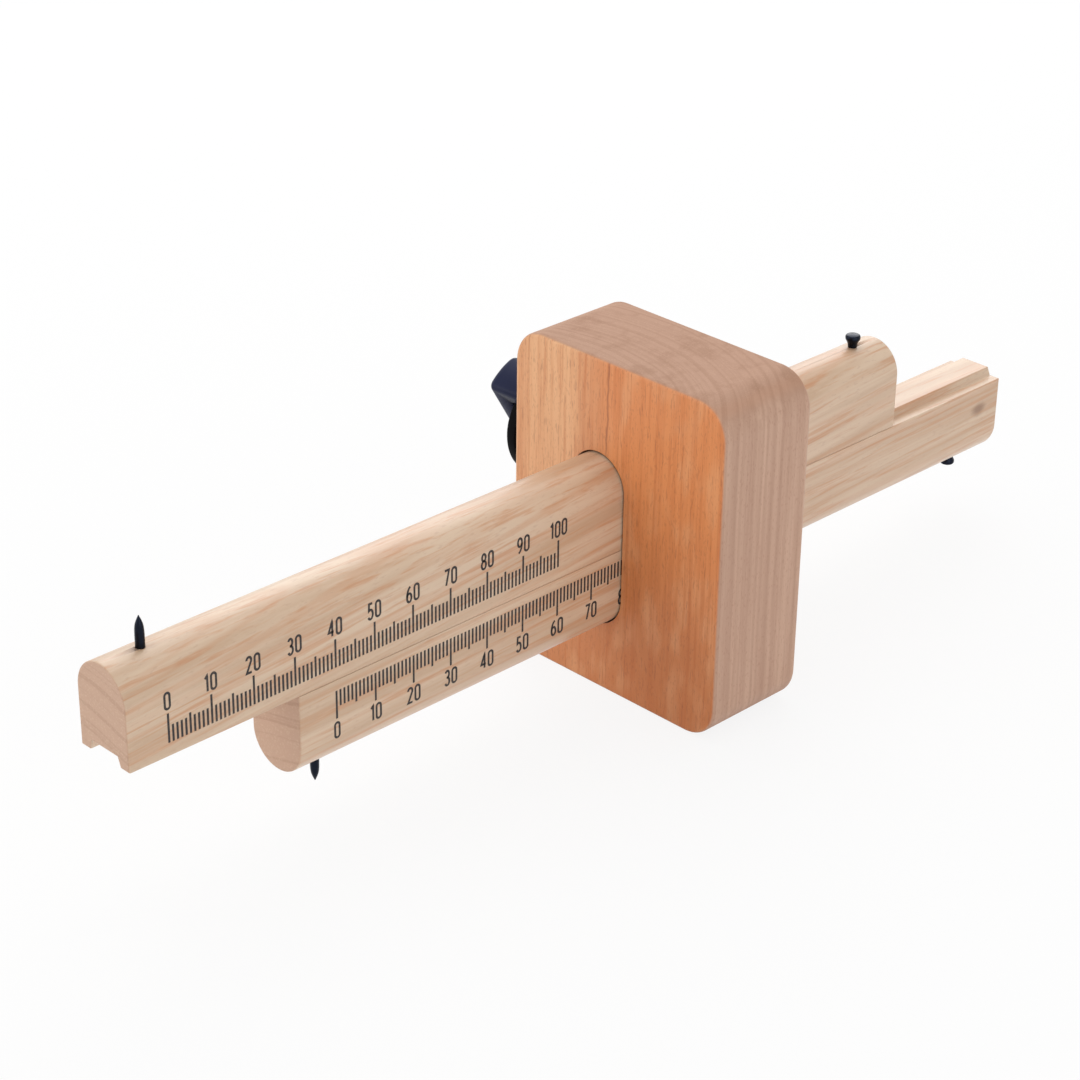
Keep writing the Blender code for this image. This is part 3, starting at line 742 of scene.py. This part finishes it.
def scale_numbers(name, look, zero, foot_z, round_z, up, ink):
    """One arm's numbers, 0 to 100 by tens, each centred on its tick, joined in one mesh."""
    bm = bmesh.new()
    gap = look.numeral_gap_between / look.numeral
    for tens in range(0, look.ticks, 10):
        digits = [NUMERALS[int(digit)] for digit in str(tens)]
        stroke = look.stroke / look.numeral
        left = -(sum(width for width, _strokes in digits) + (len(digits) - 1) * (stroke + gap)) / 2
        for width, strokes in digits:
            for line in strokes:
                at = Vector((zero.x + tens * look.pitch, zero.y, foot_z))
                ink_stroke(bm, stroke_points(line), left, look, at)
            left += width + stroke + gap
    mesh = mesh_from(bm, name)
    follow_round(mesh, round_z, up)
    return put(name, mesh, ink)


class GAUGE_OT_scales(bpy.types.Operator):
    """Prints both millimetre scales on the side away from the clamp"""
    bl_idname = "gauge.scales"
    bl_label = "Scales"

    def execute(self, context):
        look = context.scene.gauge_scale
        ink = printing_ink(look)
        tree = scale_tree()
        face = UPPER_LOW.y
        upper_zero = Vector(((UPPER_PIN[0].x + UPPER_PIN[1].x) / 2, face, JOINT_Z + look.upper_base))
        lower_zero = Vector(((LOWER_PIN[0].x + LOWER_PIN[1].x) / 2, face, JOINT_Z - look.lower_base))
        seat(scale_ticks("upper_scale_ticks", tree, look, upper_zero, 1, ink), "upper_arm")
        seat(scale_ticks("lower_scale_ticks", tree, look, lower_zero, -1, ink), "lower_arm")
        upper_foot = upper_zero.z + look.long + look.numeral_gap
        lower_foot = lower_zero.z - look.long - look.numeral_gap - look.numeral
        numbers = scale_numbers("upper_scale_numbers", look, upper_zero, upper_foot, UPPER_HIGH.z - ARM_HALF, 1, ink)
        seat(numbers, "upper_arm")
        numbers = scale_numbers("lower_scale_numbers", look, lower_zero, lower_foot, LOWER_LOW.z + ARM_HALF, -1, ink)
        seat(numbers, "lower_arm")
        return {"FINISHED"}


def marking_pin(name, low, high, up, look, steel):
    """Driven pin that rounds in to a keen point."""
    radius = (high.x - low.x) / 2
    reach = high.z - low.z
    point = look.pin_point
    profile = [(0.0, 0.0), (radius * 0.9, 0.0), (radius, radius * 0.2), (radius, reach - point)]
    for share, width_share in ((0.25, 0.97), (0.42, 0.91), (0.58, 0.78), (0.74, 0.54), (0.88, 0.26), (0.97, 0.09)):
        profile.append((radius * width_share, reach - point + point * share))
    profile.append((0.0, reach))
    return put(name, turned(name, profile, (0.0, 0.0, up), inner_end(low, high, up), PIN_SEGMENTS), steel)


def stop_pin(name, low, high, up, crown_z, steel):
    """Driven stop pin whose neck widens to a flat disc. Its head ends a little inside its box, as the real one
    stands lower."""
    head = (high.x - low.x) / 2
    reach = high.z - low.z
    proud = (high.z - crown_z) if up > 0 else (crown_z - low.z)
    seat_at = reach - proud
    profile = [(0.0, 0.0), (PIN_RADIUS * 0.9, 0.0), (PIN_RADIUS, PIN_RADIUS * 0.2), (PIN_RADIUS, seat_at),
               (head * 0.66, seat_at)]
    for share, width_share in ((0.20, 0.70), (0.38, 0.80), (0.52, 0.96), (0.62, 1.06), (0.72, 1.09), (0.82, 1.07),
                               (0.89, 0.98), (0.92, 0.84), (0.93, 0.0)):
        profile.append((head * width_share, seat_at + proud * share))
    return put(name, turned(name, profile, (0.0, 0.0, up), inner_end(low, high, up), ARC_SEGMENTS), steel)


class GAUGE_OT_pins(bpy.types.Operator):
    """Makes the marking pins and the stop pins of both arms"""
    bl_idname = "gauge.pins"
    bl_label = "Pins"

    def execute(self, context):
        look = context.scene.gauge_hardware
        steel = metal("blued_steel", look.steel, 0.26, 1400.0)
        pin = marking_pin("upper_marking_point", *UPPER_PIN, 1, look, steel)
        seat(pin, "upper_arm", "black_steel", "upper_marking_pin")
        pin = marking_pin("lower_marking_point", *LOWER_PIN, -1, look, steel)
        seat(pin, "lower_arm", "black_steel", "lower_marking_pin")
        stop = stop_pin("upper_stop", *UPPER_STOP, 1, UPPER_HIGH.z, steel)
        seat(stop, "upper_arm", "black_steel", "upper_stop_pin")
        stop = stop_pin("lower_stop", *LOWER_STOP, -1, LOWER_LOW.z, steel)
        seat(stop, "lower_arm", "black_steel", "lower_stop_pin")
        return {"FINISHED"}


def threaded_rod(name, look, low_y, high_y):
    """Stud along Y: a plain nose in the pad, then a right-hand thread with run-outs at both ends."""
    bm = bmesh.new()
    around = 72
    shoulder = low_y + look.nose_length
    rings = []
    steps = int((high_y - shoulder) / (look.thread_pitch / 10))
    for along in (0.0, look.nose_length):
        rings.append([(look.nose / 2, low_y + along, turn) for turn in range(around)])
    for step in range(steps + 1):
        y = shoulder + (high_y - shoulder) * step / steps
        ends = min(1.0, (y - shoulder) / look.thread_pitch, (high_y - y) / look.thread_pitch)
        ring = []
        for turn in range(around):
            phase = ((y - shoulder) / look.thread_pitch + turn / around) % 1.0
            flank = abs(2.0 * phase - 1.0)
            # Flat at its crest and its root
            cut = look.thread_depth * max(0.0, min(1.0, 1.25 * flank - 0.12))
            ring.append((STUD_RADIUS - cut - look.thread_depth * (1.0 - ends) * 0.6, y, turn))
        rings.append(ring)
    made = []
    for ring in rings:
        made.append([bm.verts.new((CLAMP_X + r * math.cos(math.tau * turn / around), y,
                                   CLAMP_Z + r * math.sin(math.tau * turn / around))) for r, y, turn in ring])
    join_rings(bm, made)
    return mesh_from(bm, name)


class GAUGE_OT_clamp(bpy.types.Operator):
    """Makes the brass insert, the pressure pad and the threaded stud"""
    bl_idname = "gauge.clamp"
    bl_label = "Clamp screw"

    def execute(self, context):
        look = context.scene.gauge_hardware
        brass = metal("turned_brass", look.brass, 0.3, 1100.0)
        zinc = metal("zinc_plated_steel", look.zinc, 0.32, 1600.0)
        self.insert(look, brass)
        self.pad(look, brass)
        stud = put("threaded_stud", threaded_rod("threaded_stud", look, STUD_LOW.y, STUD_HIGH.y), zinc)
        seat(stud, "clamp_knob", "plated_steel", "clamp_stud")
        return {"FINISHED"}

    def insert(self, look, brass):
        outer = (INSERT_HIGH.x - INSERT_LOW.x) / 2
        inner = STUD_RADIUS + EASY_FIT
        reach = INSERT_HIGH.y - INSERT_LOW.y
        lip = look.lip
        profile = [(inner, 0.0), (outer - lip, 0.0), (outer, lip), (outer, reach - lip), (outer - lip, reach),
                   (inner + lip, reach), (inner, reach - lip), (inner, 0.0)]
        sleeve = put("brass_insert", on_clamp("brass_insert", profile, INSERT_LOW.y), brass)
        half = look.slot_width / 2
        side = outer + CUT_OVERRUN
        slot = [(CLAMP_X - side, CLAMP_Z - half), (CLAMP_X + side, CLAMP_Z - half), (CLAMP_X + side, CLAMP_Z + half),
                (CLAMP_X - side, CLAMP_Z + half)]
        cutter = step_cut(sleeve, bar("slot", slot, INSERT_HIGH.y - look.slot_depth, INSERT_HIGH.y + CUT_OVERRUN, "Y"))
        seat(settle(sleeve, [cutter]), "fence", "brass", "threaded_insert")

    def pad(self, look, brass):
        rim = (PAD_HIGH.x - PAD_LOW.x) / 2
        thick = PAD_HIGH.y - PAD_LOW.y
        socket = look.nose / 2 + EASY_FIT
        floor = thick - look.nose_length
        lip = look.pad_lip
        profile = [(0.0, 0.0), (rim - lip, 0.0), (rim, lip), (rim, thick - lip), (rim - lip, thick), (socket, thick),
                   (socket, floor), (0.0, floor)]
        disc = put("brass_pad", on_clamp("brass_pad", profile, PAD_LOW.y), brass)
        seat(disc, "clamp_pad", "brass", "pressure_pad")


def knob_outline(look, inset):
    """Both wings, widest at the stud, drawn in by an inset."""
    reach = look.span / 2 - inset
    half = look.tip_width / 2 - inset
    centre_reach = reach - look.tip_round
    turn = math.asin((half - look.tip_round) / centre_reach)
    across = centre_reach * math.cos(turn)
    up = half - look.tip_round
    tip = arc((across, -up), look.tip_round, -math.pi / 2, -turn, 12)
    tip += arc((0.0, 0.0), reach, -turn, turn, 16)[1:-1]
    tip += arc((across, up), look.tip_round, turn, math.pi / 2, 12)
    root = look.root_width / 2 - inset
    waist = [(across * share, root + (half - root) * abs(share)) for share in (0.6, 0.3, 0.0, -0.3, -0.6)]
    return tip + waist + [(-x, -y) for x, y in tip] + [(-x, -y) for x, y in waist]


class GAUGE_OT_knob(bpy.types.Operator):
    """Makes the wing knob and the collar under it"""
    bl_idname = "gauge.knob"
    bl_label = "Wing knob"

    def execute(self, context):
        look = context.scene.gauge_knob
        self.collar(look)
        self.wings(look)
        return {"FINISHED"}

    def collar(self, look):
        thick = COLLAR_HIGH.y - COLLAR_LOW.y
        inner = STUD_RADIUS + EASY_FIT
        lip = look.collar_arris
        rim = COLLAR_RADIUS - lip
        profile = [(inner, 0.0), (rim, 0.0)]
        profile += [(rim + lip * math.sin(a), lip - lip * math.cos(a)) for a in (0.5, 1.0, 1.57)]
        profile += [(rim + lip * math.cos(a), thick - lip + lip * math.sin(a)) for a in (0.0, 0.5, 1.0, 1.57)]
        profile += [(inner, thick), (inner, 0.0)]
        black = moulded_plastic("black_nylon_moulded", look.black, 0.55, 0.05)
        collar = put("black_collar", on_clamp("black_collar", profile, COLLAR_LOW.y, RIM_SEGMENTS), black)
        seat(collar, "clamp_knob", "collar_plastic", "knob_collar")

    def wings(self, look):
        height = KNOB_HIGH.y - KNOB_LOW.y
        side_top = height - look.edge_round
        levels = [(0.0, look.draft), (0.0003, look.draft - 0.0001), (side_top, 0.0)]
        steps = 14
        for step in range(1, steps + 1):
            turn = math.pi / 2 * step / steps
            levels.append((side_top + look.edge_round * math.sin(turn), look.edge_round * (1.0 - math.cos(turn))))
        bm = bmesh.new()
        rings = [[bm.verts.new((x, along, up)) for x, up in knob_outline(look, inset)] for along, inset in levels]
        join_rings(bm, rings)
        upright = Matrix.Rotation(-math.pi / 2 - look.turn, 4, "Y")
        place = Matrix.Translation((CLAMP_X, KNOB_LOW.y, CLAMP_Z)) @ upright
        bmesh.ops.transform(bm, matrix=place, verts=bm.verts)
        navy = moulded_plastic("navy_nylon_moulded", look.navy, 0.42, 0.15)
        knob = put("navy_wing_knob", mesh_from(bm, "navy_wing_knob"), navy)
        recess = COLLAR_RADIUS + EASY_FIT
        recess_depth = COLLAR_HIGH.y - KNOB_LOW.y + EASY_FIT
        socket = STUD_RADIUS + EASY_FIT
        depth = STUD_HIGH.y - KNOB_LOW.y + EASY_FIT
        profile = [(0.0, -CUT_OVERRUN), (recess, -CUT_OVERRUN), (recess, recess_depth), (socket, recess_depth),
                   (socket, depth), (0.0, depth)]
        cutter = step_cut(knob, on_clamp("recess", profile, KNOB_LOW.y, RIM_SEGMENTS))
        seat(settle(knob, [cutter]), "clamp_knob", "knob_plastic", "wing_knob")


def seen_directly(tree):
    """1 for rays from the camera and for rays that metal and glass send on, 0 for the rest."""
    path = add(tree, "ShaderNodeLightPath").outputs
    first = add(tree, "ShaderNodeMath", {0: path["Is Camera Ray"], 1: path["Is Glossy Ray"]}, operation="MAXIMUM")
    return add(tree, "ShaderNodeMath", {0: first, 1: path["Is Transmission Ray"]}, operation="MAXIMUM")


def floor_surface(look):
    """Matt white paper sweep: seen directly it is near white, and keeps a share of the gauge's shadow."""
    made, tree = emptied(bpy.data.materials.new("white_paper_sweep"))
    paper = add(tree, "ShaderNodeBsdfDiffuse", {"Color": rgba(look.floor)})
    dimmed = add(tree, "ShaderNodeBsdfDiffuse", {"Color": rgba([part * look.shadow_share for part in look.floor])})
    glow = add(tree, "ShaderNodeEmission", {"Color": rgba(look.floor), "Strength": 1.0 - look.shadow_share})
    shown = add(tree, "ShaderNodeAddShader", {0: dimmed, 1: glow})
    mixed = add(tree, "ShaderNodeMixShader", {0: seen_directly(tree), 1: paper, 2: shown})
    add(tree, "ShaderNodeOutputMaterial", {"Surface": mixed})
    return made


def soft_box(name, place, aim, width, watts, rgb=(1.0, 1.0, 1.0)):
    lamp = bpy.data.lights.new(name, "AREA")
    lamp.shape = "SQUARE"
    lamp.size = width
    lamp.energy = watts
    lamp.color = rgb
    holder = bpy.data.objects.new(name, lamp)
    bpy.context.scene.collection.objects.link(holder)
    holder.location = place
    holder.rotation_mode = "QUATERNION"
    holder.rotation_quaternion = (Vector(aim) - Vector(place)).to_track_quat("-Z", "Y")
    holder.visible_camera = False


class GAUGE_OT_stage(bpy.types.Operator):
    """Makes the floor, the even sky, the soft boxes and the camera"""
    bl_idname = "gauge.stage"
    bl_label = "Stage"

    def execute(self, context):
        look = context.scene.gauge_stage
        self.floor(look)
        self.sky(context, look)
        centre = (0.0, 0.0, 0.04)
        soft_box("top_soft_box", (0.15, 0.25, 0.95), centre, 0.9, look.top_power)
        soft_box("front_soft_box", (-0.85, 0.45, 0.35), centre, 0.7, look.front_power, (1.0, 0.985, 0.96))
        soft_box("side_soft_box", (-0.15, -0.95, 0.3), centre, 0.8, look.side_power, (0.94, 0.97, 1.0))
        soft_box("back_soft_box", (0.74, 0.74, 0.60), centre, 0.8, look.back_power)
        self.camera(context, look)
        context.scene.view_settings.view_transform = "Standard"
        return {"FINISHED"}

    def floor(self, look):
        half = look.floor_size / 2
        bm = bmesh.new()
        bm.faces.new([bm.verts.new(spot) for spot in ((-half, -half, FENCE_LOW.z), (half, -half, FENCE_LOW.z),
                                                      (half, half, FENCE_LOW.z), (-half, half, FENCE_LOW.z))])
        sheet = put("paper_floor", mesh_from(bm, "paper_floor"), floor_surface(look))

    def sky(self, context, look):
        world, tree = emptied(bpy.data.worlds.new("even_studio"))
        shown = add(tree, "ShaderNodeBackground", {"Color": rgba(look.floor), "Strength": 1.0})
        lit = add(tree, "ShaderNodeBackground", {"Color": (1.0, 1.0, 1.0, 1.0), "Strength": look.sky})
        mixed = add(tree, "ShaderNodeMixShader", {0: seen_directly(tree), 1: lit, 2: shown})
        add(tree, "ShaderNodeOutputWorld", {"Surface": mixed})
        context.scene.world = world

    def camera(self, context, look):
        """The photograph's viewpoint, found from the printed scales: a turn from +X, a dip, and a slight roll."""
        turn, dip, roll = math.radians(45.177), math.radians(27.436), math.radians(0.816)
        ahead = Vector((math.cos(turn) * math.cos(dip), math.sin(turn) * math.cos(dip), -math.sin(dip)))
        data = bpy.data.cameras.new("camera")
        data.lens = look.lens
        data.sensor_width = 36.0
        data.clip_start = 0.01
        camera = bpy.data.objects.new("camera", data)
        context.scene.collection.objects.link(camera)
        camera.location = (-0.38726, -0.35469, 0.30441)
        camera.rotation_mode = "QUATERNION"
        camera.rotation_quaternion = ahead.to_track_quat("-Z", "Y") @ Quaternion((0.0, 0.0, 1.0), roll)
        context.scene.camera = camera


GROUPS = {"gauge_fence": GaugeFence, "gauge_arms": GaugeArms, "gauge_scale": GaugeScale,
          "gauge_hardware": GaugeHardware, "gauge_knob": GaugeKnob, "gauge_stage": GaugeStage}
MAKERS = (GAUGE_OT_fence, GAUGE_OT_arms, GAUGE_OT_scales, GAUGE_OT_pins, GAUGE_OT_clamp, GAUGE_OT_knob,
          GAUGE_OT_stage)


class GAUGE_PT_panel(bpy.types.Panel):
    """Sidebar panel with the gauge's makers, and their sizes and colours under them"""
    bl_idname = "GAUGE_PT_panel"
    bl_label = "Marking gauge"
    bl_space_type = "VIEW_3D"
    bl_region_type = "UI"
    bl_category = "Gauge"

    def draw(self, context):
        for maker in MAKERS:
            self.layout.operator(maker.bl_idname)
        for group, kind in GROUPS.items():
            box = self.layout.box()
            for name in kind.__annotations__:
                box.prop(getattr(context.scene, group), name, text=name.replace("_", " ").capitalize())


def register():
    for kind in (*GROUPS.values(), *MAKERS, GAUGE_PT_panel):
        bpy.utils.register_class(kind)
    for name, kind in GROUPS.items():
        setattr(bpy.types.Scene, name, PointerProperty(type=kind))


def unregister():
    for name in GROUPS:
        delattr(bpy.types.Scene, name)
    for kind in reversed((*GROUPS.values(), *MAKERS, GAUGE_PT_panel)):
        bpy.utils.unregister_class(kind)


def main():
    register()
    bpy.ops.gauge.fence()
    bpy.ops.gauge.arms()
    bpy.ops.gauge.scales()
    bpy.ops.gauge.pins()
    bpy.ops.gauge.clamp()
    bpy.ops.gauge.knob()
    bpy.ops.gauge.stage()


if __name__ == "__main__":
    main()
